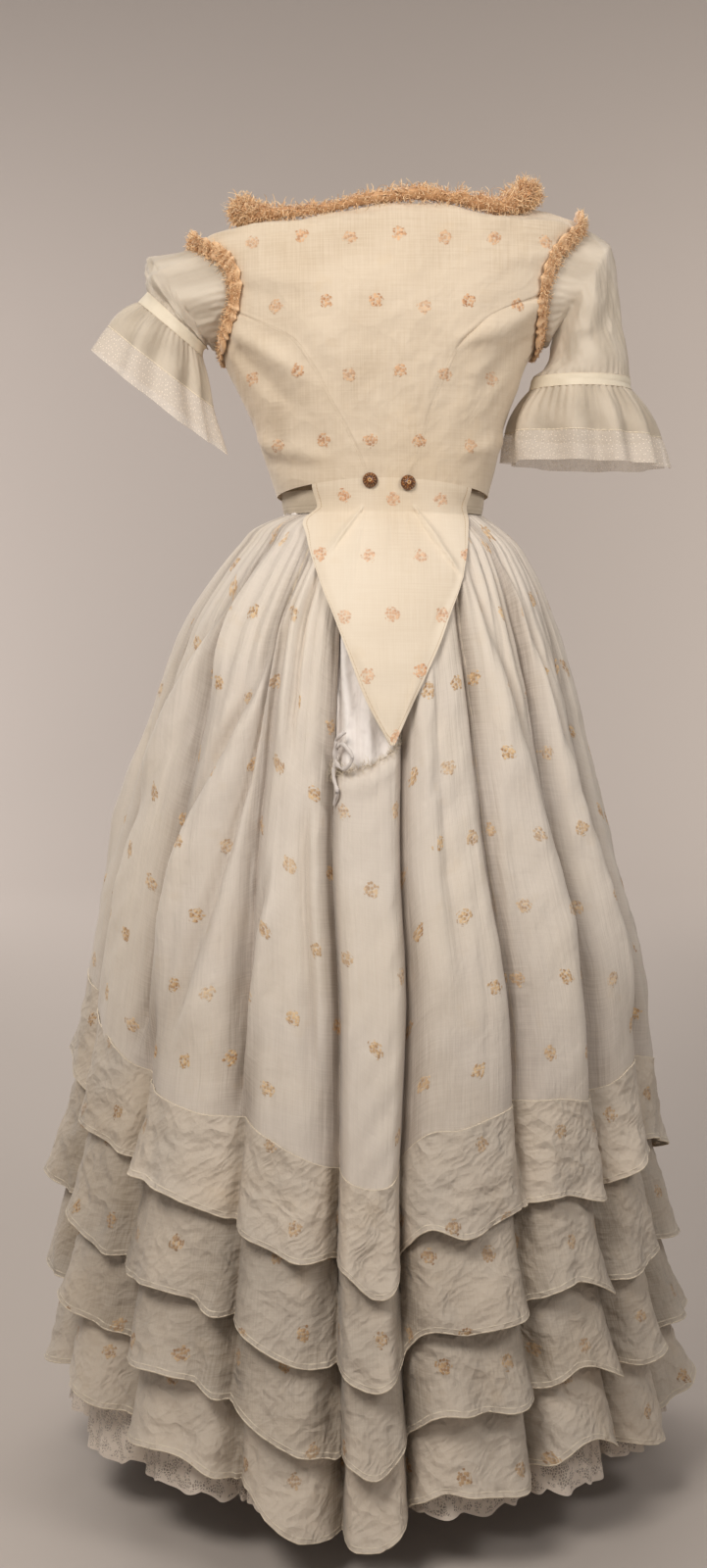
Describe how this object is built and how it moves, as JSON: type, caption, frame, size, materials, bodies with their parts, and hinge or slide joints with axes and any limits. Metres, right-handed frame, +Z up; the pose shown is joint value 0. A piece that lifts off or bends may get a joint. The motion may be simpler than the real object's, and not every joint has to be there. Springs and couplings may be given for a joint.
{
  "type": "two-piece dress",
  "caption": "Short-sleeved bodice with a pointed back tail over a long gathered skirt with flounces, hollow and open as worn.",
  "frame": {"origin": "centre of the waist, where the skirt hangs", "axes": "+Z up the body, -Y towards the back of the dress, +Y its front, +X the right side seen from the back"},
  "size_m": [0.7034, 0.6496, 1.3563],
  "materials": {
    "bodice": "cream cotton with small woven flower sprigs, matt",
    "tail": "the same cotton, lighter where it catches the light",
    "skirt": "sheer off-white mull with woven flower sprigs, matt, gathered",
    "flounce": "crinkled off-white cotton with corded cream hems",
    "inner": "plain white cotton, matt",
    "sleeve": "sheer off-white organdie",
    "net": "fine net and lace",
    "trim": "peach silk ribbon and fringe",
    "button": "amber-brown, polished"
  },
  "bodies": {
    "root": {"bodice_back_centre": "bodice", "bodice_side_back_left": "bodice", "bodice_side_back_right": "bodice", "bodice_front_left": "bodice", "bodice_front_right": "bodice", "back_tail": "tail", "neck_trim": "trim", "armhole_trim_left": "trim", "armhole_trim_right": "trim", "button_left": "button", "button_right": "button", "sleeve_left": "sleeve", "sleeve_band_left": "sleeve", "sleeve_ruffle_left": "sleeve", "sleeve_net_left": "net", "sleeve_right": "sleeve", "sleeve_band_right": "sleeve", "sleeve_ruffle_right": "sleeve", "sleeve_net_right": "net", "waistband": "inner", "skirt_front": "skirt", "skirt_side_left": "skirt", "skirt_side_right": "skirt", "skirt_back_left": "skirt", "skirt_back_right": "skirt", "skirt_back_panel": "skirt", "flounce_1": "flounce", "flounce_2": "flounce", "flounce_3": "flounce", "flounce_4": "flounce", "underskirt_side_left": "inner", "underskirt_back_left": "inner", "underskirt_back_right": "inner", "underskirt_side_right": "inner", "underskirt_front": "inner", "underskirt_lace": "net"}
  },
  "joints": []
}
